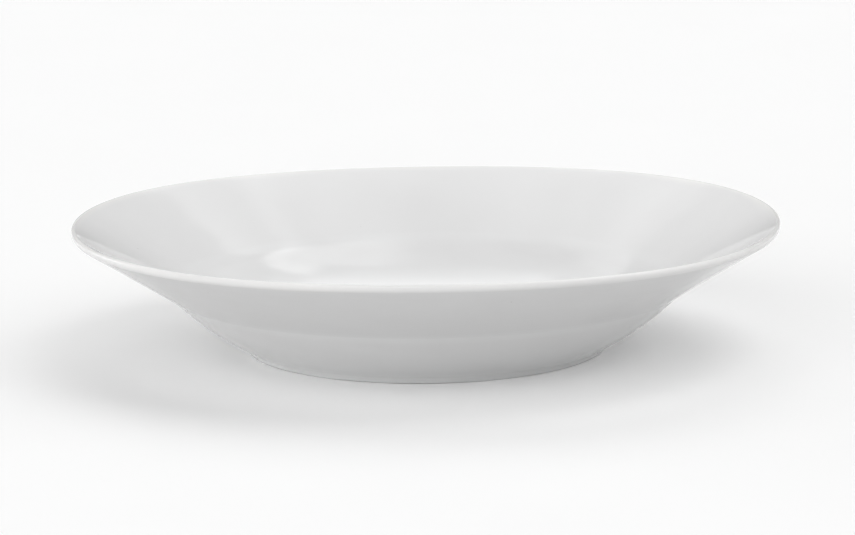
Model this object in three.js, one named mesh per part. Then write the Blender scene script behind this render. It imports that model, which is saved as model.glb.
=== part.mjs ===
// Deep plate with a wide flared rim: a pressed porcelain body, the glaze coat fired onto it,
// and the patch of glaze inside its foot ring. Millimetres, +Z up, standing face at Z = 0.
import * as THREE from "three";

// Finished plate
const plateRadius = 115; // widest point of the lip, glaze included
const plateHeight = 42; // from the table to the top of the lip, glaze included
const glazeThickness = 0.25;
const glazeBond = 0.01; // bond line that keeps the glaze solid clear of the clay solid

// Lip and rim of the body, under the glaze
const lipHeight = 1.7; // from the lower corner of the lip to its top, which sets the rim's thickness
const lipTopRadius = 0.65; // tight round on the upper edge
const lipUnderRadius = 1.7; // wider round on the lower edge
const wellRadius = 83.6; // outside corner where the rim leaves the well
const underRimHeight = 20; // height of that corner
const underRimFillet = 3;
const shoulderRadius = 20; // soft round inside, where the rim turns down into the well

// Well of the body
const wallThickness = 2.5; // under the shoulder; from there the wall grows thicker towards the foot
const wallBulge = 2; // how far the bend of the wall's outside lies beyond a straight wall
const wallBendRadius = 90;
const wellCornerRadius = 45; // wide round between the inside of the wall and the floor of the well
const baseThickness = 3.2;

// Foot ring of the body
const footRadius = 57.4; // outer edge of the standing face
const footWidth = 3.5; // width of the standing face
const footFlare = 2.65; // how far the foot's outer side leans out up to the wall
const footHeight = 2.7; // from the table up to the corner of the foot and the wall
const footTopFillet = 5;
const footEdgeFillet = 0.8;
const footInnerTaper = 1; // how far the foot's inner side leans in up to the base
const baseRecess = 2.4; // from the table up to the underside of the base
const baseFillet = 1.2;
const bareHeight = 0.6; // bare clay on both sides of the foot, up to the glaze lines

// Fineness of the solids
const roundSegments = 64;
const arcStep = 31; // most degrees of a round that one straight step may cover
const arcTolerance = 0.1; // how far a straight step may leave its round
const roundShare = 0.98; // share of a straight side that the rounds at its ends may take

// Sizes that follow from those above
const glazeDepth = glazeBond + glazeThickness;
const bodyRadius = plateRadius - glazeDepth;
const bodyHeight = plateHeight - glazeDepth;
const lipUnderHeight = bodyHeight - lipHeight;
const rimAngle = Math.atan2(lipUnderHeight - underRimHeight, bodyRadius - wellRadius);
const lipTopReach = lipTopRadius * Math.tan(Math.PI / 4 + rimAngle / 2);
const lipTopHeight = bodyHeight - lipTopRadius + lipTopReach;
const rimThickness = (lipTopHeight - lipUnderHeight) * Math.cos(rimAngle);
const floorHeight = baseRecess + baseThickness;
const footInnerRadius = footRadius - footWidth;

// Corner of the section: its radius and height on the plate, and the radius of the round that replaces it
function corner(radius, height, round = 0) {
  return { at: new THREE.Vector2(radius, height), round };
}

// Corner with no round, at a given height on the straight side between two others
function cornerOnSide(lower, upper, height) {
  const share = (height - lower.at.y) / (upper.at.y - lower.at.y);
  return { at: lower.at.clone().lerp(upper.at, share), round: 0 };
}

// Straight line from one corner to the next, moved to its left by a distance
function lineBeside(from, to, distance) {
  const direction = to.at.clone().sub(from.at).normalize();
  const left = new THREE.Vector2(-direction.y, direction.x);
  return { start: from.at.clone().addScaledVector(left, distance), direction };
}

// Corner where two lines cross
function crossing(first, second, round) {
  const between = second.start.clone().sub(first.start);
  const along = between.cross(second.direction) / first.direction.cross(second.direction);
  return { at: first.start.clone().addScaledVector(first.direction, along), round };
}

// Angle by which a run turns at a corner, positive to the left; none at its ends
function turnAt(sides, i) {
  if (i === 0 || i === sides.length) return 0;
  return Math.atan2(sides[i - 1].cross(sides[i]), sides[i - 1].dot(sides[i]));
}

// Angle that one straight step may cover on a round of a given radius
function stepOn(radius) {
  const flat = Math.min(arcTolerance / radius, 1);
  return Math.min(THREE.MathUtils.degToRad(arcStep), 2 * Math.acos(1 - flat));
}

// Rounds the corners of a run, and gives each of its points the direction that faces out of the clay.
// Rounds that don't fit on the straight side between them are made smaller until they do.
function roundedRun(corners) {
  const sides = corners.slice(1).map((end, i) => lineBeside(corners[i], end, 0).direction);
  const turns = corners.map((point, i) => turnAt(sides, i));
  const wanted = corners.map((point, i) => point.round * Math.tan(Math.abs(turns[i]) / 2));
  const fits = sides.map((side, i) => {
    const room = roundShare * corners[i].at.distanceTo(corners[i + 1].at);
    const taken = wanted[i] + wanted[i + 1];
    return taken > room ? room / taken : 1;
  });
  const run = [];
  corners.forEach((point, i) => {
    const before = sides[Math.max(i - 1, 0)];
    const out = new THREE.Vector2(before.y, -before.x);
    const reach = wanted[i] * Math.min(fits[i - 1] ?? 1, fits[i] ?? 1);
    if (reach === 0) {
      run.push({ at: point.at.clone(), out });
      return;
    }
    const radius = reach / Math.tan(turns[i] / 2);
    const centre = point.at.clone().addScaledVector(before, -reach).addScaledVector(out, -radius);
    const steps = Math.ceil(Math.abs(turns[i]) / stepOn(Math.abs(radius)));
    for (let step = 0; step <= steps; step++) {
      const turned = out.clone().rotateAround(new THREE.Vector2(), (turns[i] * step) / steps);
      run.push({ at: centre.clone().addScaledVector(turned, radius), out: turned });
    }
  });
  return run;
}

// Face of the glaze on a run, at a distance from the clay; at a glaze line both faces meet on the bond line
function glazeFace(run, distance) {
  const last = run.length - 1;
  return run.map(({ at, out }, i) => {
    const atGlazeLine = (i === 0 || i === last) && at.x > 0;
    return at.clone().addScaledVector(out, atGlazeLine ? glazeBond : distance);
  });
}

// Solid of revolution about Z, from an outline that starts and ends on the axis
function revolve(name, outline, color, roughness) {
  const geometry = new THREE.LatheGeometry(outline, roundSegments);
  geometry.rotateX(Math.PI / 2);
  const material = new THREE.MeshStandardMaterial({ color, roughness, metalness: 0 });
  const mesh = new THREE.Mesh(geometry, material);
  mesh.name = name;
  return mesh;
}

// Corners of the outside, from the foot up to the lip
const footInnerTop = corner(footInnerRadius - footInnerTaper, baseRecess, baseFillet);
const footInnerEdge = corner(footInnerRadius, 0, footEdgeFillet);
const footOuterEdge = corner(footRadius, 0, footEdgeFillet);
const footTop = corner(footRadius + footFlare, footHeight, footTopFillet);
const underRim = corner(wellRadius, underRimHeight, underRimFillet);
const bulgeLine = lineBeside(footTop, underRim, -wallBulge);
const wallHalf = footTop.at.distanceTo(underRim.at) / 2;
const wallBend = {
  at: bulgeLine.start.clone().addScaledVector(bulgeLine.direction, wallHalf),
  round: wallBendRadius,
};
const lipUnder = corner(bodyRadius, lipUnderHeight, lipUnderRadius);
const lipTop = corner(bodyRadius, lipTopHeight, lipTopRadius);

// Corners of the inside, where the faces beside the outside cross each other and the floor
const rimFace = lineBeside(underRim, lipUnder, rimThickness);
const wallFace = lineBeside(wallBend, underRim, wallThickness);
const floorMiddle = corner(0, floorHeight);
const floorFace = lineBeside(floorMiddle, corner(footRadius, floorHeight), 0);
const shoulder = crossing(rimFace, wallFace, shoulderRadius);
const wellCorner = crossing(wallFace, floorFace, wellCornerRadius);

// The three runs of the section: under the base, the bare foot, and the glazed outside and inside
const innerGlazeLine = cornerOnSide(footInnerEdge, footInnerTop, bareHeight);
const outerGlazeLine = cornerOnSide(footOuterEdge, footTop, bareHeight);
const baseRun = roundedRun([corner(0, baseRecess), footInnerTop, innerGlazeLine]);
const bareRun = roundedRun([innerGlazeLine, footInnerEdge, footOuterEdge, outerGlazeLine]);
const outsideCorners = [outerGlazeLine, footTop, wallBend, underRim, lipUnder, lipTop];
const insideCorners = [shoulder, wellCorner, floorMiddle];
const coatRun = roundedRun([...outsideCorners, ...insideCorners]);

// Porcelain body, from the middle of the base round the foot and the lip to the middle of the well
const bodyOutline = [...baseRun, ...bareRun.slice(1), ...coatRun.slice(1)].map(({ at }) => at);

// Glaze coat, out along the clay from the middle of the well to the glaze line, and back on its outer face
const coatOutline = [
  ...glazeFace(coatRun, glazeBond).reverse(),
  ...glazeFace(coatRun, glazeDepth).slice(1),
];

// Glaze inside the foot ring, out on its lower face to the glaze line, and back along the clay
const baseOutline = [
  ...glazeFace(baseRun, glazeDepth),
  ...glazeFace(baseRun, glazeBond).reverse().slice(1),
];

const plate = new THREE.Group();
plate.add(revolve("porcelain_body", bodyOutline, "#dedbd4", 0.8));
plate.add(revolve("glaze_coat", coatOutline, "#f1f1ef", 0.12));
plate.add(revolve("base_glaze", baseOutline, "#ededea", 0.15));

export default plate;
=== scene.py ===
# %% [markdown]
# # A deep plate in white glazed porcelain
#
# A porcelain plate is one piece of fired clay with a thin coat of glass on it. The bare ring that it stands
# on parts the coat in two: a large one over everything that shows, and a small patch inside the foot ring.
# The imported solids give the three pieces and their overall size. This scene makes each of them again with
# fine curves, the small faults that a kiln leaves, and the finish of real glaze and bare porcelain.

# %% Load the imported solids
import math

import bpy
import numpy as np
from mathutils import Matrix, Vector


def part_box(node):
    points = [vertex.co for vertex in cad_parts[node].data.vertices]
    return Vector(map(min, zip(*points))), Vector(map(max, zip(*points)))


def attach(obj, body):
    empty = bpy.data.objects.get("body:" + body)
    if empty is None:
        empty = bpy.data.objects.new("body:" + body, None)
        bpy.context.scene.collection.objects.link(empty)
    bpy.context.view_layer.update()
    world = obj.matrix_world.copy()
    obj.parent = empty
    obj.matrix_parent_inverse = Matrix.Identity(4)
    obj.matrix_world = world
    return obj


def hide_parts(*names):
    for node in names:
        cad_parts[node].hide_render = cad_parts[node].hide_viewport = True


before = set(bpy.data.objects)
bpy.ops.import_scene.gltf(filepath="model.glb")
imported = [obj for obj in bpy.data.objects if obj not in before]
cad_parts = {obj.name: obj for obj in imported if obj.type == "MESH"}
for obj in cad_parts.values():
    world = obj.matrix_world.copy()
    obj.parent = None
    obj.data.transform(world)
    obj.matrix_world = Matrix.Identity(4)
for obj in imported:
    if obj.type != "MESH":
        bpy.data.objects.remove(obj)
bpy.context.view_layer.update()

MM = 0.001  # the section is worked out in millimetres, and Blender's unit is the metre
PLATE_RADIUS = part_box("glaze_coat")[1].x / MM
PLATE_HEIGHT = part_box("glaze_coat")[1].z / MM
print(f"nodes {sorted(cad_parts)}")
print(f"plate {2 * PLATE_RADIUS:.1f} mm across and {PLATE_HEIGHT:.1f} mm high")

# %% [markdown]
# ## The section
#
# Everything round on a plate follows from one line: the section of the clay, from the middle of the base
# round the foot, up the outside, over the lip and down the inside to the middle of the well. It could be
# drawn as a curve with handles. Corners that each have a real radius are easier to measure on a plate, so
# the line is a short list of corners, and a formula rounds them.

# %% Round the corners of a section
ARC_STEP = math.radians(1)  # fineness of the arcs before points are spread along them
ROUND_SHARE = 0.98  # share of a straight side that the rounds at its two ends may take


def heading_of(start, end):
    """Angle of the straight side from one point of the section to the next."""
    return math.atan2(end[1] - start[1], end[0] - start[0])


def beside(start, end, distance):
    """A point of a side moved to its left by a distance, and the side's heading."""
    heading = heading_of(start, end)
    return start[0] - distance * math.sin(heading), start[1] + distance * math.cos(heading), heading


def crossing(first, second, radius):
    """Corner where two sides meet: the first is followed by (between x second) / (first x second)."""
    (r1, z1, h1), (r2, z2, h2) = first, second
    far = ((r2 - r1) * math.sin(h2) - (z2 - z1) * math.cos(h2)) / math.sin(h2 - h1)
    return r1 + far * math.cos(h1), z1 + far * math.sin(h1), radius


def rounded(corners):
    """Fine line through corners of (radius, height, round), each replaced by an arc that touches its sides.

    An arc of radius R on a corner that turns by T starts R tan(T / 2) before it, and the heading then turns
    evenly: the steps add up to R (sin h - sin h0) outwards and R (cos h0 - cos h) upwards. Two arcs that
    don't fit on the side between them are made smaller by the same share."""
    places = np.array(corners, float)[:, :2]
    sides = np.diff(places, axis=0)
    headings = np.unwrap(np.arctan2(sides[:, 1], sides[:, 0]))
    wanted = np.pad(np.array(corners)[1:-1, 2] * np.tan(np.abs(np.diff(headings)) / 2), 1)
    room = ROUND_SHARE * np.hypot(*sides.T)
    fits = room / np.maximum(wanted[:-1] + wanted[1:], room)
    reaches = wanted[1:-1] * np.minimum(fits[:-1], fits[1:])
    parts = [[[*places[0], headings[0]]]]
    for (r, z), reach, before, after in zip(places[1:-1], reaches, headings[:-1], headings[1:]):
        bend = reach / math.tan((after - before) / 2)
        h = np.linspace(before, after, math.ceil(abs(after - before) / ARC_STEP) + 1)
        arc_r = r - reach * math.cos(before) + bend * (np.sin(h) - math.sin(before))
        arc_z = z - reach * math.sin(before) + bend * (math.cos(before) - np.cos(h))
        parts.append(np.stack([arc_r, arc_z, h], -1))
    parts.append([[*places[-1], headings[-1]]])
    return np.concatenate(parts)


# %% [markdown]
# ## Corners of the clay
#
# The outside has corners of its own, from the foot to the lip. The faces of the inside run beside those of
# the outside, at the thickness of the clay, and the corners of the inside are where these faces cross. So
# a thicker rim or wall still gives a sound section, with no other size to change.

# %% Sizes in millimetres
GLAZE_DEPTH = 0.26  # glaze and its bond line, which the finished radius and height include
BODY_RADIUS = PLATE_RADIUS - GLAZE_DEPTH
BODY_HEIGHT = PLATE_HEIGHT - GLAZE_DEPTH
LIP_HEIGHT = 1.7  # from the lower corner of the lip to its top, which sets the rim's thickness
LIP_TOP_ROUND, LIP_UNDER_ROUND = 0.65, 1.7
WELL_RADIUS, UNDER_RIM_HEIGHT = 83.6, 20  # outside corner where the rim leaves the well
UNDER_RIM_ROUND, SHOULDER_ROUND = 3, 20  # outside and inside of that corner
WALL_THICKNESS = 2.5  # under the shoulder
WALL_BULGE, WALL_BEND = 2, 90  # how far the wall's bend lies beyond a straight wall, and its round
WELL_ROUND = 45  # between the inside of the wall and the floor of the well
BASE_THICKNESS = 3.2
BASE_RECESS, BASE_ROUND = 2.4, 1.2  # from the table up to the underside of the base, and its edge
FOOT_RADIUS, FOOT_WIDTH = 57.4, 3.5  # outer edge and width of the standing face
FOOT_FLARE, FOOT_HEIGHT = 2.65, 2.7  # how far the outer side leans out, and up to where
FOOT_TAPER = 1  # how far the inner side leans in
FOOT_TOP_ROUND, FOOT_EDGE_ROUND = 5, 0.8
print(f"clay {2 * BODY_RADIUS:.2f} mm across and {BODY_HEIGHT:.2f} mm high")

# %% Outside, inside and the rounded line
foot_inner = FOOT_RADIUS - FOOT_WIDTH
foot_top = (FOOT_RADIUS + FOOT_FLARE, FOOT_HEIGHT, FOOT_TOP_ROUND)
under_rim = (WELL_RADIUS, UNDER_RIM_HEIGHT, UNDER_RIM_ROUND)
lip_under = (BODY_RADIUS, BODY_HEIGHT - LIP_HEIGHT, LIP_UNDER_ROUND)
rim_angle = heading_of(under_rim, lip_under)
lip_top_height = BODY_HEIGHT - LIP_TOP_ROUND + LIP_TOP_ROUND * math.tan(math.pi / 4 + rim_angle / 2)
lip_top = (BODY_RADIUS, lip_top_height, LIP_TOP_ROUND)
rim_thickness = (lip_top_height - lip_under[1]) * math.cos(rim_angle)
wall_r, wall_z, wall_heading = beside(foot_top, under_rim, -WALL_BULGE)
half_wall = math.dist(foot_top[:2], under_rim[:2]) / 2
wall_bend = (
    wall_r + half_wall * math.cos(wall_heading), wall_z + half_wall * math.sin(wall_heading), WALL_BEND)

rim_face = beside(under_rim, lip_under, rim_thickness)
wall_face = beside(wall_bend, under_rim, WALL_THICKNESS)
floor_face = (0, BASE_RECESS + BASE_THICKNESS, 0)
shoulder = crossing(rim_face, wall_face, SHOULDER_ROUND)
well_corner = crossing(wall_face, floor_face, WELL_ROUND)

clay_line = rounded([
    (0, BASE_RECESS, 0), (foot_inner - FOOT_TAPER, BASE_RECESS, BASE_ROUND),
    (foot_inner, 0, FOOT_EDGE_ROUND), (FOOT_RADIUS, 0, FOOT_EDGE_ROUND), foot_top, wall_bend, under_rim,
    lip_under, lip_top, shoulder, well_corner, floor_face])
clay_length = np.concatenate([[0], np.cumsum(np.hypot(*np.diff(clay_line[:, :2], axis=0).T))])
print(f"section {clay_length[-1]:.1f} mm long")
print(f"rim at {math.degrees(rim_angle):.1f} degrees, {rim_thickness:.2f} mm thick")

# %% [markdown]
# ## Points along the section and round the plate
#
# A grid needs many rows where the section bends, as on the lip, and few on the straight rim. So the rows are
# even in a mixed measure: each step is a share of the longest step plus a share of the sharpest turn. Round
# the plate the columns are evenly spaced, and fine enough that no facet shows on the lip.

# %% Rows and columns of the grids
LONGEST_STEP = 2.4  # mm
SHARPEST_TURN = math.radians(6)
COLUMNS = 288

turning = np.abs(np.diff(clay_line[:, 2])) / SHARPEST_TURN
travel = np.concatenate([[0], np.cumsum(np.diff(clay_length) / LONGEST_STEP + turning)])
around = np.linspace(0, 2 * math.pi, COLUMNS, endpoint=False)


def rows_between(start, end):
    """Lengths along the section from start to end, even in the mixed measure of length and turn."""
    first, last = np.interp([start, end], clay_length, travel)
    return np.interp(np.linspace(first, last, math.ceil(last - first) + 1), travel, clay_length)


def on_clay(length):
    """Radius, height, and the outward normal's two parts, at lengths along the section."""
    r, z, heading = (np.interp(length, clay_length, values) for values in clay_line.T)
    return r, z, np.sin(heading), -np.cos(heading)


print(f"{len(rows_between(0, clay_length[-1]))} rows of {COLUMNS} points cover the clay")

# %% [markdown]
# ## A rim that sagged in the kiln
#
# At full heat porcelain is soft, and a wide rim never comes out quite flat. It rises and dips in slow waves
# round the plate, by some tenths of a millimetre. A modifier could bend the finished mesh. Here the lift is
# part of the formula, so that the clay and both coats of glaze follow it together.

# %% Lift of the rim
RIM_WAVES = [(2, 0.29, 13.5), (3, 0.62, 31.1)]  # crests, mm at the lip, degrees from X to a crest


def kiln_lift(r):
    """Lift in mm: waves of two and of three crests, which grow as the square of the way to the lip."""
    share = np.clip((r - WELL_RADIUS) / (BODY_RADIUS - WELL_RADIUS), 0, 1)
    return share ** 2 * sum(
        height * np.cos(crests * (around - math.radians(turn))) for crests, height, turn in RIM_WAVES)


print(f"lift of the lip {kiln_lift(BODY_RADIUS).min():.2f} to {kiln_lift(BODY_RADIUS).max():.2f} mm")

# %% [markdown]
# ## A skin from the section
#
# Turning the section about Z makes the plate. The Spin tool and the Screw modifier do that with a section
# that stays the same. Here the rim sags and the edge of the glaze wanders, so the section changes on the way
# round, and the skin is a grid: a row of points for each place on the section, a column for each angle.

# %% Skin of revolution from a grid
def revolve(name, r, z):
    """Closed mesh from grids of radius and height in mm, with a row for each point of the section.

    A point of column angle a lies at (r cos a, r sin a, z + lift). The first and last rows are on the axis,
    and each becomes one point, from which triangles fan out."""
    z = z + kiln_lift(r)
    skin = np.stack([r * np.cos(around), r * np.sin(around), z], -1)[1:-1]
    poles = np.array([[0, 0, z[0, 0]], [0, 0, z[-1, 0]]])
    points = np.concatenate([skin.reshape(-1, 3), poles]) * MM
    here = np.arange(skin.shape[0] * COLUMNS).reshape(-1, COLUMNS)
    ahead = np.roll(here, -1, axis=1)
    quads = np.stack([here[:-1], ahead[:-1], ahead[1:], here[1:]], -1).reshape(-1, 4)
    low, high = np.full(COLUMNS, here.size), np.full(COLUMNS, here.size + 1)
    first_fan = np.stack([low, ahead[0], here[0]], -1)
    last_fan = np.stack([here[-1], ahead[-1], high], -1)
    mesh = bpy.data.meshes.new(name)
    mesh.from_pydata(points, [], quads.tolist() + first_fan.tolist() + last_fan.tolist())
    mesh.shade_smooth()
    piece = bpy.data.objects.new(name, mesh)
    bpy.context.collection.objects.link(piece)
    print(f"{name}: {2 * (len(quads) + COLUMNS)} triangles, {np.ptp(points, axis=0) / MM} mm")
    return piece


# %% [markdown]
# ## The porcelain body
#
# The body is pressed between a mould and a shaped roller, then fired. It is nearly all under glaze: only the
# standing face of the foot ring and a narrow band on both its sides stay bare, so that the plate doesn't
# stick to the kiln shelf. It is the clay section itself, turned once round.

# %% Porcelain body
body_r, body_z = (np.repeat(values[:, None], COLUMNS, 1)
                  for values in on_clay(rows_between(0, clay_length[-1]))[:2])
porcelain_body = revolve("fired_porcelain_body", body_r, body_z)

# %% [markdown]
# ## The glaze
#
# The plate is dipped in liquid glaze, and the foot is wiped clean. In the kiln the glaze melts: it runs
# together in the hollow corners, draws thin over the lip, and ends at the foot in a rounded bead on a
# slightly wavy line. A coat of even thickness would look like paint, so the thickness is a sum of these
# effects along the section and round the plate. The outer face of the glaze lies that far from the clay.

# %% Thickness of the glaze
BOND = 0.01  # mm between clay and glaze, so that the two skins never share a face
EVEN_COAT = GLAZE_DEPTH - BOND
POOLS = [  # corner, extra thickness and reach in mm
    (under_rim, 0.08, 2.5), (foot_top, 0.12, 1.6), (well_corner, 0.12, 14)]
LIP_DRAW, LIP_REACH = 0.07, 2.2  # mm lost over the lip's upper edge, and how far down that is felt
BEAD_WIDTH = 0.55  # mm, from the glaze line to full thickness
BEAD_SWELL = 0.45  # share by which the bead is thicker than the coat behind it
RIPPLE, RIPPLE_RADIUS = 0.012, 40  # mm, height of the slow waves of runny glaze, and where it is reached
RIPPLE_COUNT = 10

draws = np.random.default_rng(7)
ripple_turns = draws.integers(2, 15, RIPPLE_COUNT)  # waves round the plate
ripple_lengths = draws.uniform(9, 40, RIPPLE_COUNT)  # mm along the section
ripple_phases = draws.uniform(0, 2 * math.pi, RIPPLE_COUNT)


def thickness(length, from_line):
    """Glaze thickness in mm: even, plus pools in hollow corners, less on the lip, plus ripples and the bead.

    A pool fades with distance d as exp(-(d / reach)^2). The bead is a quarter ellipse that starts on the
    glaze line, times a swell that fades the same way on both sides of its width."""
    r, z = on_clay(length)[:2]
    coat = np.full(length.shape, EVEN_COAT)
    for (at_r, at_z, _), extra, reach in POOLS:
        coat += extra * np.exp(-((r - at_r) ** 2 + (z - at_z) ** 2) / reach ** 2)
    coat -= LIP_DRAW * np.exp(-((r - lip_top[0]) ** 2 + (z - BODY_HEIGHT) ** 2) / LIP_REACH ** 2)
    for turns, wavelength, phase in zip(ripple_turns, ripple_lengths, ripple_phases):
        wave = np.sin(turns * around + 2 * math.pi * length / wavelength + phase)
        coat += RIPPLE / math.sqrt(RIPPLE_COUNT) * wave * np.clip(r / RIPPLE_RADIUS, 0, 1)
    share = np.clip(from_line / BEAD_WIDTH, 0, 1)
    swell = 1 + BEAD_SWELL * np.exp(-((from_line - BEAD_WIDTH) / BEAD_WIDTH) ** 2)
    return coat * swell * np.sqrt(1 - (1 - share) ** 2)


print(f"even coat {EVEN_COAT:.2f} mm, {len(POOLS)} pools and {RIPPLE_COUNT} ripples")

# %% Skin of a coat of glaze
BEAD_ROWS = 8
LINE_WAVE, LINE_REACH = 0.16, 4  # mm, how far the glaze line wanders, and how far in the rows follow it
LINE_TURNS = np.arange(3, 23)  # waves of the line round the plate
LINE_FADE = 0.7  # a wave of n turns is lower by n to this power


def wander(seed):
    """Wavy line round the plate, from -1 to 1: a sum of waves that each close on themselves."""
    phases = np.random.default_rng(seed).uniform(0, 2 * math.pi, len(LINE_TURNS))
    turns = LINE_TURNS[:, None]
    line = (np.sin(turns * around + phases[:, None]) / turns ** LINE_FADE).sum(0)
    return line / np.abs(line).max()


def glaze_skin(name, line, middle, seed):
    """Skin of one coat of glaze, from its glaze line to the middle, both as lengths along the section.

    The rows near the line slide along the clay with the line's waves. The clay side of the skin and its
    outer side meet on the line, and the thickness is kept on the mesh for the material to read."""
    toward = math.copysign(1, middle - line)
    bead = line + toward * BEAD_WIDTH * np.linspace(0, 1, BEAD_ROWS) ** 2
    beyond = rows_between(*sorted([line + toward * 2 * BEAD_WIDTH, middle]))[::int(toward)]
    rows = np.concatenate([bead, beyond])[:, None]
    from_line = np.abs(rows - line)
    length = rows + LINE_WAVE * wander(seed) * np.clip(1 - from_line / LINE_REACH, 0, 1)
    coat = thickness(length, from_line)
    r, z, normal_r, normal_z = on_clay(length)
    sides = [(r + normal_r * out, z + normal_z * out) for out in (BOND, BOND + coat)]
    inner, outer = sides if toward > 0 else sides[::-1]
    grid_r = np.concatenate([inner[0][::-1], outer[0][1:]])
    grid_z = np.concatenate([inner[1][::-1], outer[1][1:]])
    grid_r[0] = grid_r[-1] = 0
    piece = revolve(name, grid_r, grid_z)
    depth = np.concatenate([coat[::-1], coat[1:]])
    values = np.concatenate([depth[1:-1].ravel(), depth[[0, -1], 0]]).astype(np.float32)
    piece.data.attributes.new("glaze_thickness", "FLOAT", "POINT").data.foreach_set("value", values)
    print(f"  glaze {coat[2:].min():.2f} to {coat.max():.2f} mm thick")
    return piece


# %% The coat and the patch under the base
BARE_HEIGHT = 0.6  # mm, of the bare band on both sides of the foot

bare = clay_line[:, 1] < BARE_HEIGHT
inner_line, outer_line = clay_length[bare][[0, -1]]
glaze_coat = glaze_skin("glaze_coat_skin", outer_line, clay_length[-1], 3)
base_glaze = glaze_skin("base_glaze_skin", inner_line, 0.0, 4)

# %% [markdown]
# ## Ties to the imported part
#
# Nothing on a plate moves, so all three pieces ride on its one body. Each takes the place of the solid that
# it was made after.

# %% Tie the pieces to the imported part
for piece, node, slot in [
        (porcelain_body, "porcelain_body", "biscuit"), (glaze_coat, "glaze_coat", "glaze"),
        (base_glaze, "base_glaze", "glaze")]:
    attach(piece, "root")
    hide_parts(node)

# %% [markdown]
# ## Finishes
#
# Colours are written as sRGB hex values, as a colour picker shows them, and one function turns them into the
# linear values that Blender computes with. One more function adds a node, sets it and links it. Patterns
# take their scale from real sizes in millimetres.

# %% Colour and node helpers
def linear(hex_colour):
    """Linear RGBA of an sRGB hex colour: c / 12.92 up to 0.04045, and ((c + 0.055) / 1.055)^2.4 above it."""
    srgb = np.array([int(hex_colour[i:i + 2], 16) / 255 for i in (1, 3, 5)])
    return (*np.where(srgb <= 0.04045, srgb / 12.92, ((srgb + 0.055) / 1.055) ** 2.4), 1.0)


def add_node(tree, kind, inputs=None, **settings):
    """Adds a node. Settings are its own properties, and each input is a plain value or an output to link."""
    node = tree.nodes.new(kind)
    for name, value in settings.items():
        setattr(node, name, value)
    for socket, value in (inputs or {}).items():
        if isinstance(value, bpy.types.NodeSocket):
            tree.links.new(value, node.inputs[socket])
        else:
            node.inputs[socket].default_value = value
    return node


def new_material(name):
    """An empty material with its output node."""
    material = bpy.data.materials.new(name)
    material.use_nodes = True
    material.node_tree.nodes.clear()
    return material, material.node_tree, add_node(material.node_tree, "ShaderNodeOutputMaterial")


def per_metre(size):
    """Scale of a texture whose features are a size in mm apart."""
    return 1 / (size * MM)


# %% [markdown]
# ### Gloss glaze on white porcelain
#
# Feldspar glaze is a clear glass, so its white is that of the clay below, and its surface mirrors softly at
# about 4 percent face on and far more at a grazing angle. Where it pools it takes a faint cool tint, and it
# is painted whiter there too: a painted pool of light in the bottom of the well, which also whitens the
# hollow corners. On the lip, where it is thin, it takes a faint warm tint and is painted lighter: a painted
# highlight along the lip. It isn't perfectly level: a fine orange peel and slow waves bend the reflections,
# and faint rings stay from the turning tool. Here and there an iron grain in the clay has burnt to a dark
# speck.

# %% Colour of the glaze
GLAZE_WHITE, GLAZE_CLOUD = "#eeeeee", "#e9e9e9"
GLAZE_POOL_AND_LIGHT, GLAZE_THIN_AND_HIGHLIGHT, GLAZE_SPECK = "#f7f8f8", "#f6f5f3", "#8f867a"
CLOUD_SIZE = 26  # mm
# The pool colour has a faint cool tint and is whiter: painted light for the bottom of the well.
POOL_START, POOL_END, POOL_SHARE = EVEN_COAT + 0.02, EVEN_COAT + 0.14, 0.6  # mm thick, and most tint
# The thin colour has a faint warm tint and is lighter: a painted highlight along the lip.
THIN_START, THIN_END, THIN_SHARE = EVEN_COAT - 0.02, EVEN_COAT - 0.08, 0.7
SPECK_CELL, SPECK_RADIUS, SPECK_SHARE = 14, 0.22, 0.6  # mm apart, mm to its edge, and how dark at most

# This glaze gives the eye a milky white with clear, slightly wavy reflections.
glaze, tree, output = new_material("gloss_glaze_on_porcelain")
place = add_node(tree, "ShaderNodeTexCoord").outputs["Object"]
depth = add_node(tree, "ShaderNodeAttribute", attribute_name="glaze_thickness").outputs["Fac"]
cloud = add_node(tree, "ShaderNodeTexNoise", {
    "Vector": place, "Scale": per_metre(CLOUD_SIZE), "Detail": 2.0})
white = add_node(tree, "ShaderNodeMix", {
    0: cloud.outputs["Fac"], 6: linear(GLAZE_WHITE), 7: linear(GLAZE_CLOUD)}, data_type="RGBA")
# Whiter where the glaze is thick: painted light in the bottom of the well, also in the hollow corners.
pool_and_light_mask = add_node(tree, "ShaderNodeMapRange", {
    "Value": depth, "From Min": POOL_START, "From Max": POOL_END, "To Max": POOL_SHARE})
cool_pool_and_light = add_node(tree, "ShaderNodeMix", {
    0: pool_and_light_mask.outputs[0], 6: white.outputs[2], 7: linear(GLAZE_POOL_AND_LIGHT)}, data_type="RGBA")
# Lighter where the glaze is thin on the lip: a painted highlight, with the warm tint of thin glaze.
thin_and_highlight_mask = add_node(tree, "ShaderNodeMapRange", {
    "Value": depth, "From Min": THIN_START, "From Max": THIN_END, "To Max": THIN_SHARE})
warm_thin_and_highlight = add_node(tree, "ShaderNodeMix", {
    0: thin_and_highlight_mask.outputs[0], 6: cool_pool_and_light.outputs[2], 7: linear(GLAZE_THIN_AND_HIGHLIGHT)}, data_type="RGBA")
cells = add_node(tree, "ShaderNodeTexVoronoi", {"Vector": place, "Scale": per_metre(SPECK_CELL)})
speck_edge = SPECK_RADIUS / SPECK_CELL
grain = add_node(tree, "ShaderNodeMapRange", {
    "Value": cells.outputs["Distance"], "From Min": speck_edge, "From Max": speck_edge / 2,
    "To Max": SPECK_SHARE})
speckled = add_node(tree, "ShaderNodeMix", {
    0: grain.outputs[0], 6: warm_thin_and_highlight.outputs[2], 7: linear(GLAZE_SPECK)}, data_type="RGBA")
print(f"{glaze.name}: {len(tree.nodes)} nodes for its colour")

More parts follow.
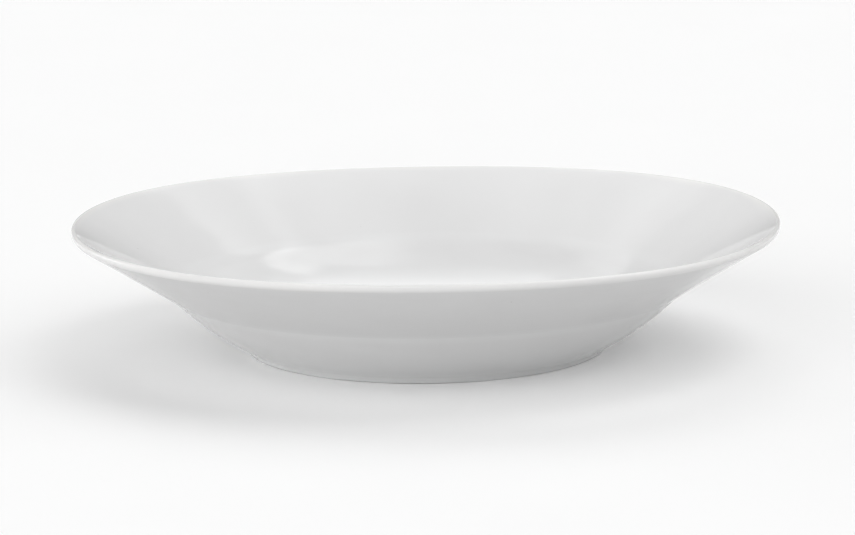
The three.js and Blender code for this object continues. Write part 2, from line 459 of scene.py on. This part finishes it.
# %% Surface of the glaze
GLAZE_IOR = 1.5
PEEL_SIZE, WAVE_SIZE, RING_SIZE = 2.6, 15, 4.5  # mm across
PEEL_HEIGHT, WAVE_HEIGHT, RING_HEIGHT = 0.006, 0.05, 0.012  # mm
GLOSS_START, GLOSS_END = 0.3, 0.7  # values of the clouds between which the gloss changes
GLOSS_BEST, GLOSS_WORST = 0.05, 0.08  # roughness at those two values

peel = add_node(tree, "ShaderNodeTexNoise", {
    "Vector": place, "Scale": per_metre(PEEL_SIZE), "Detail": 1.0})
waves = add_node(tree, "ShaderNodeTexNoise", {
    "Vector": place, "Scale": per_metre(WAVE_SIZE), "Detail": 1.0})
level = add_node(tree, "ShaderNodeVectorMath", {0: place, 1: (1, 1, 0)}, operation="MULTIPLY")
radius = add_node(tree, "ShaderNodeVectorMath", {0: level.outputs[0]}, operation="LENGTH")
rings = add_node(tree, "ShaderNodeTexNoise", {
    "W": radius.outputs["Value"], "Scale": per_metre(RING_SIZE), "Detail": 2.0}, noise_dimensions="1D")
peel_bump = add_node(tree, "ShaderNodeBump", {
    "Height": peel.outputs["Fac"], "Distance": PEEL_HEIGHT * MM, "Strength": 1.0})
wave_bump = add_node(tree, "ShaderNodeBump", {
    "Height": waves.outputs["Fac"], "Distance": WAVE_HEIGHT * MM, "Strength": 1.0,
    "Normal": peel_bump.outputs[0]})
ring_bump = add_node(tree, "ShaderNodeBump", {
    "Height": rings.outputs["Fac"], "Distance": RING_HEIGHT * MM, "Strength": 1.0,
    "Normal": wave_bump.outputs[0]})
gloss = add_node(tree, "ShaderNodeMapRange", {
    "Value": cloud.outputs["Fac"], "From Min": GLOSS_START, "From Max": GLOSS_END,
    "To Min": GLOSS_BEST, "To Max": GLOSS_WORST})
glazed = add_node(tree, "ShaderNodeBsdfPrincipled", {
    "Base Color": speckled.outputs[2], "Roughness": gloss.outputs[0], "IOR": GLAZE_IOR,
    "Normal": ring_bump.outputs[0]})
tree.links.new(glazed.outputs[0], output.inputs[0])
for piece in (glaze_coat, base_glaze):
    piece.data.materials.append(glaze)
print(f"{glaze.name}: {len(tree.nodes)} nodes")

# %% [markdown]
# ### Bare fired porcelain
#
# Where no glaze covers it, the clay is matt, a warm grey white, with a fine sandy grain. The standing face
# is ground on a wheel, which leaves rings, and shelves and other plates have rubbed grey on to it.

# %% Bare porcelain
BARE_WHITE, BARE_SHADE, RUB_GREY = "#dfdcd5", "#d3cfc6", "#b3afa8"
GRIT_SIZE, GRIND_SIZE, RUB_SIZE = 0.5, 0.4, 9  # mm; the real grit is finer, and is drawn coarser to show
GRIT_HEIGHT, GRIND_HEIGHT = 0.05, 0.03  # mm
RUB_START, RUB_END, RUB_SHARE = 0.56, 0.72, 0.55  # part of the noise that is rubbed, and how grey at most
BARE_ROUGHNESS = 0.75

# This clay gives the eye a dull, dry ring under the shine of the glaze.
bisque, tree, output = new_material("bare_fired_porcelain")
place = add_node(tree, "ShaderNodeTexCoord").outputs["Object"]
grit = add_node(tree, "ShaderNodeTexNoise", {
    "Vector": place, "Scale": per_metre(GRIT_SIZE), "Detail": 3.0})
sandy = add_node(tree, "ShaderNodeMix", {
    0: grit.outputs["Fac"], 6: linear(BARE_WHITE), 7: linear(BARE_SHADE)}, data_type="RGBA")
rubs = add_node(tree, "ShaderNodeTexNoise", {
    "Vector": place, "Scale": per_metre(RUB_SIZE), "Detail": 4.0})
worn = add_node(tree, "ShaderNodeMapRange", {
    "Value": rubs.outputs["Fac"], "From Min": RUB_START, "From Max": RUB_END, "To Max": RUB_SHARE})
rubbed = add_node(tree, "ShaderNodeMix", {
    0: worn.outputs[0], 6: sandy.outputs[2], 7: linear(RUB_GREY)}, data_type="RGBA")
level = add_node(tree, "ShaderNodeVectorMath", {0: place, 1: (1, 1, 0)}, operation="MULTIPLY")
radius = add_node(tree, "ShaderNodeVectorMath", {0: level.outputs[0]}, operation="LENGTH")
grinding = add_node(tree, "ShaderNodeTexNoise", {
    "W": radius.outputs["Value"], "Scale": per_metre(GRIND_SIZE), "Detail": 2.0}, noise_dimensions="1D")
grit_bump = add_node(tree, "ShaderNodeBump", {
    "Height": grit.outputs["Fac"], "Distance": GRIT_HEIGHT * MM, "Strength": 1.0})
grind_bump = add_node(tree, "ShaderNodeBump", {
    "Height": grinding.outputs["Fac"], "Distance": GRIND_HEIGHT * MM, "Strength": 1.0,
    "Normal": grit_bump.outputs[0]})
matt = add_node(tree, "ShaderNodeBsdfPrincipled", {
    "Base Color": rubbed.outputs[2], "Roughness": BARE_ROUGHNESS, "IOR": GLAZE_IOR,
    "Normal": grind_bump.outputs[0]})
tree.links.new(matt.outputs[0], output.inputs[0])
porcelain_body.data.materials.append(bisque)
print(f"{bisque.name}: {len(tree.nodes)} nodes")

# %% [markdown]
# ## The floor
#
# The plate stands on a pale board. A white board would throw so much light up that the underside of the rim
# lost its shade. So the board is white where it is looked at or mirrored, and light grey for the light that
# it throws back. It still takes the plate's shadow.

# %% Floor
FLOOR_RADIUS = 14.0  # m
FLOOR_WHITE, FLOOR_CLOUD, FLOOR_BOUNCE = "#fafafa", "#f7f7f7", "#dadada"
FLOOR_SHINE = 0.09  # added where the board is seen, so that it shows white
FLOOR_ROUGHNESS = 0.9
MOTTLE_SIZE = 60  # mm

floor_mesh = bpy.data.meshes.new("studio_floor")
floor_ring = FLOOR_RADIUS * np.stack([np.cos(around), np.sin(around), 0 * around], -1)
floor_mesh.from_pydata(floor_ring, [], [list(range(COLUMNS))])
floor = bpy.data.objects.new("studio_floor", floor_mesh)
bpy.context.collection.objects.link(floor)

# This board gives the eye an even white with a soft shadow on it.
board, tree, output = new_material("matt_white_board")
place = add_node(tree, "ShaderNodeTexCoord").outputs["Object"]
mottle = add_node(tree, "ShaderNodeTexNoise", {
    "Vector": place, "Scale": per_metre(MOTTLE_SIZE), "Detail": 2.0})
pale = add_node(tree, "ShaderNodeMix", {
    0: mottle.outputs["Fac"], 6: linear(FLOOR_WHITE), 7: linear(FLOOR_CLOUD)}, data_type="RGBA")
ray = add_node(tree, "ShaderNodeLightPath")
seen = add_node(tree, "ShaderNodeMath", {
    0: ray.outputs["Is Camera Ray"], 1: ray.outputs["Is Glossy Ray"]}, operation="MAXIMUM")
shown = add_node(tree, "ShaderNodeMath", {
    0: seen.outputs[0], 1: ray.outputs["Is Transmission Ray"]}, operation="MAXIMUM").outputs[0]
shine = add_node(tree, "ShaderNodeMath", {0: shown, 1: FLOOR_SHINE}, operation="MULTIPLY")
either = add_node(tree, "ShaderNodeMix", {
    0: shown, 6: linear(FLOOR_BOUNCE), 7: pale.outputs[2]}, data_type="RGBA")
matt = add_node(tree, "ShaderNodeBsdfPrincipled", {
    "Base Color": either.outputs[2], "Roughness": FLOOR_ROUGHNESS, "Specular IOR Level": 0.0,
    "Emission Color": (1, 1, 1, 1), "Emission Strength": shine.outputs[0]})
tree.links.new(matt.outputs[0], output.inputs[0])
floor_mesh.materials.append(board)
print(f"{board.name}: {len(tree.nodes)} nodes")

# %% [markdown]
# ## The studio
#
# White porcelain takes its shape from what it mirrors, so the room matters as much as the plate. A large
# softbox hangs over and behind the plate: its two sides show as slanting edges on the rim, and its bright
# middle as a pool of light in the well. Smaller panels light the left and the right of the well, and broad
# glows stand low on the left and all round. Lamps could do this too. A world that is brighter in some
# directions gives each light its own soft edge, and needs no object for it.

# %% A room that depends on the direction
ROOM_GREY = 0.04  # brightness where nothing shines, where 1 is white
LOWEST = 0.02  # least height of a direction for which slopes are worked out

world = bpy.data.worlds.new("studio_room")
bpy.context.scene.world = world
world.use_nodes = True
tree = world.node_tree
tree.nodes.clear()
toward = add_node(tree, "ShaderNodeTexCoord").outputs["Generated"]
height = add_node(tree, "ShaderNodeSeparateXYZ", {0: toward}).outputs["Z"]
above = add_node(tree, "ShaderNodeMath", {0: height, 1: LOWEST}, operation="MAXIMUM").outputs[0]
slope = add_node(tree, "ShaderNodeVectorMath", {0: toward, 1: above}, operation="DIVIDE").outputs[0]
light = add_node(tree, "ShaderNodeMath", {0: ROOM_GREY, 1: 0.0}).outputs[0]
print(f"{world.name}: {ROOM_GREY} where nothing shines")

# %% [markdown]
# ### Panels overhead
#
# Divided by its own height, a direction becomes a place on a level ceiling, at x / z and y / z. On that
# ceiling a softbox is a plain rectangle. How far a place lies past the rectangle's edges gives the light
# there: it fades from full to none over the softness, in x and in y, and the two are multiplied.

# %% Softbox and panels
PANELS = [  # near left and far right corner as slopes x / z and y / z, softness in x and y, brightness
    ((-0.575, 0.6), (0.57, 2.2), (0.02, 0.35), 0.64),  # softbox
    ((-0.38, 0.55), (0.38, 1.6), (0.06, 0.1), 1.04),  # its bright middle, in the bottom of the well
    ((-0.3, 0.33), (0.3, 0.55), (0.1, 0.06), 0.64),  # its near edge
    ((0.4, 0.3), (0.75, 0.55), (0.07, 0.07), 1.92),  # bright spot, low on the left of the well
    ((0.12, -0.3), (0.75, 0.28), (0.12, 0.08), 1.68),  # panel overhead, in the left of the well
    ((-1.3, 0.5), (-0.62, 1.2), (0.1, 0.12), 0.96),  # panel on the left, in the right of the well
    ((0.85, 0.65), (1.5, 1.6), (0.12, 0.2), 0.32)]  # panel on the right, at the left end of the well

for (left, front), (right, rear), softness, brightness in PANELS:
    from_middle = add_node(tree, "ShaderNodeVectorMath", {
        0: slope, 1: ((left + right) / 2, (front + rear) / 2, 0)}, operation="SUBTRACT")
    one_side = add_node(tree, "ShaderNodeVectorMath", {0: from_middle.outputs[0]}, operation="ABSOLUTE")
    past_edge = add_node(tree, "ShaderNodeVectorMath", {
        0: one_side.outputs[0], 1: ((right - left) / 2, (rear - front) / 2, 0)}, operation="SUBTRACT")
    past = add_node(tree, "ShaderNodeSeparateXYZ", {0: past_edge.outputs[0]})
    across, along = (add_node(tree, "ShaderNodeMapRange", {
        "Value": past.outputs[axis], "From Min": soft, "From Max": -soft}, interpolation_type="SMOOTHSTEP")
        for axis, soft in zip("XY", softness))
    panel = add_node(tree, "ShaderNodeMath", {
        0: across.outputs[0], 1: along.outputs[0]}, operation="MULTIPLY")
    light = add_node(tree, "ShaderNodeMath", {
        0: panel.outputs[0], 1: brightness, 2: light}, operation="MULTIPLY_ADD").outputs[0]

print(f"{len(PANELS)} panels overhead")

# %% [markdown]
# ### Broad glows
#
# A glow has no edge. Its brightness is the cosine of the angle between a direction and the glow's middle,
# raised to a power, and a higher power makes it tighter. Panels and glows add up: each takes the light so
# far and adds its own share.

# %% Broad glows
TIGHT, WIDE = 24, 8  # powers to which the cosine is raised
GLOWS = [  # where a glow comes from, its power and its brightness
    ((-0.87, 0.5, 0.06), TIGHT, 3.76),  # left, from a little behind
    ((-1.0, 0.0, 0.06), TIGHT, 1.92),  # left
    ((-0.87, -0.5, 0.06), TIGHT, 1.52),  # left, from a little in front
    ((-0.5, -0.87, 0.06), TIGHT, 1.52),  # front, from a little left
    ((0.7, -0.7, 0.06), TIGHT, 0.24),  # front right
    ((-0.7, -0.7, 0.5), WIDE, 1.4),  # front left
    ((0.0, -1.0, 0.5), WIDE, 1.36),  # front
    ((1.0, 0.0, 0.5), WIDE, 1.68),  # right
    ((0.7, 0.7, 0.5), WIDE, 0.2),  # back right
    ((-0.1, 1.0, 0.4), WIDE, 0.4),  # back
    ((0.0, 0.7, 0.7), WIDE, 0.24)]  # back, high up

for source, tightness, brightness in GLOWS:
    facing = add_node(tree, "ShaderNodeVectorMath", {
        0: toward, 1: Vector(source).normalized()}, operation="DOT_PRODUCT")
    toward_it = add_node(tree, "ShaderNodeMath", {0: facing.outputs["Value"], 1: 0.0}, operation="MAXIMUM")
    glow = add_node(tree, "ShaderNodeMath", {0: toward_it.outputs[0], 1: tightness}, operation="POWER")
    light = add_node(tree, "ShaderNodeMath", {
        0: glow.outputs[0], 1: brightness, 2: light}, operation="MULTIPLY_ADD").outputs[0]

print(f"{len(GLOWS)} broad glows")

# %% [markdown]
# ### White cove
#
# The board of a studio bends up behind the object, so that no horizon shows. Here each direction that is
# close to level gets about the white of the board, in place of the light of the room.

# %% White cove round the floor
COVE_WHITE = 0.97
COVE_LOW, COVE_HIGH = 0.02, 0.06  # heights of a direction between which the cove fades into the room

cove = add_node(tree, "ShaderNodeMapRange", {
    "Value": height, "From Min": COVE_HIGH, "From Max": COVE_LOW}, interpolation_type="SMOOTHSTEP")
brightness = add_node(tree, "ShaderNodeMix", {
    0: cove.outputs[0], 2: light, 3: COVE_WHITE}, data_type="FLOAT")
shine = add_node(tree, "ShaderNodeBackground", {"Color": (1, 1, 1, 1), "Strength": brightness.outputs[0]})
add_node(tree, "ShaderNodeOutputWorld", {0: shine.outputs[0]})
print(f"{world.name}: {len(tree.nodes)} nodes")

# %% [markdown]
# ## The camera
#
# The photograph looks along +Y from a little above the rim, with a long lens and a slight roll. These values
# come from a fit of the plate's section to its outline in the photograph. The camera could also be aimed
# with a Track To constraint, but a matrix made from three directions can hold the roll as well.

# %% Camera
IMAGE_WIDTH = 855  # pixels
FOCAL_PIXELS = 3677.8
SENSOR_WIDTH = 36.0  # mm
DISTANCE = 1.2  # m, from the point looked at
TARGET = Vector((0.42 * MM, 0, 26.02 * MM))
ELEVATION, ROLL = math.radians(10.665), math.radians(-0.702)

lens = bpy.data.cameras.new("photo_camera")
lens.sensor_fit, lens.sensor_width = "HORIZONTAL", SENSOR_WIDTH
lens.lens = FOCAL_PIXELS / IMAGE_WIDTH * SENSOR_WIDTH
camera = bpy.data.objects.new("photo_camera", lens)
bpy.context.collection.objects.link(camera)
back = Vector((0, -math.cos(ELEVATION), math.sin(ELEVATION)))
right, up = Vector((1, 0, 0)), Vector((0, math.sin(ELEVATION), math.cos(ELEVATION)))
turned_right = right * math.cos(ROLL) + up * math.sin(ROLL)
turned_up = up * math.cos(ROLL) - right * math.sin(ROLL)
camera.matrix_world = Matrix.Translation(TARGET + back * DISTANCE) @ Matrix(
    (turned_right, turned_up, back)).transposed().to_4x4()
bpy.context.scene.camera = camera
bpy.context.scene.view_settings.view_transform = "Standard"
print(f"lens {lens.lens:.1f} mm")
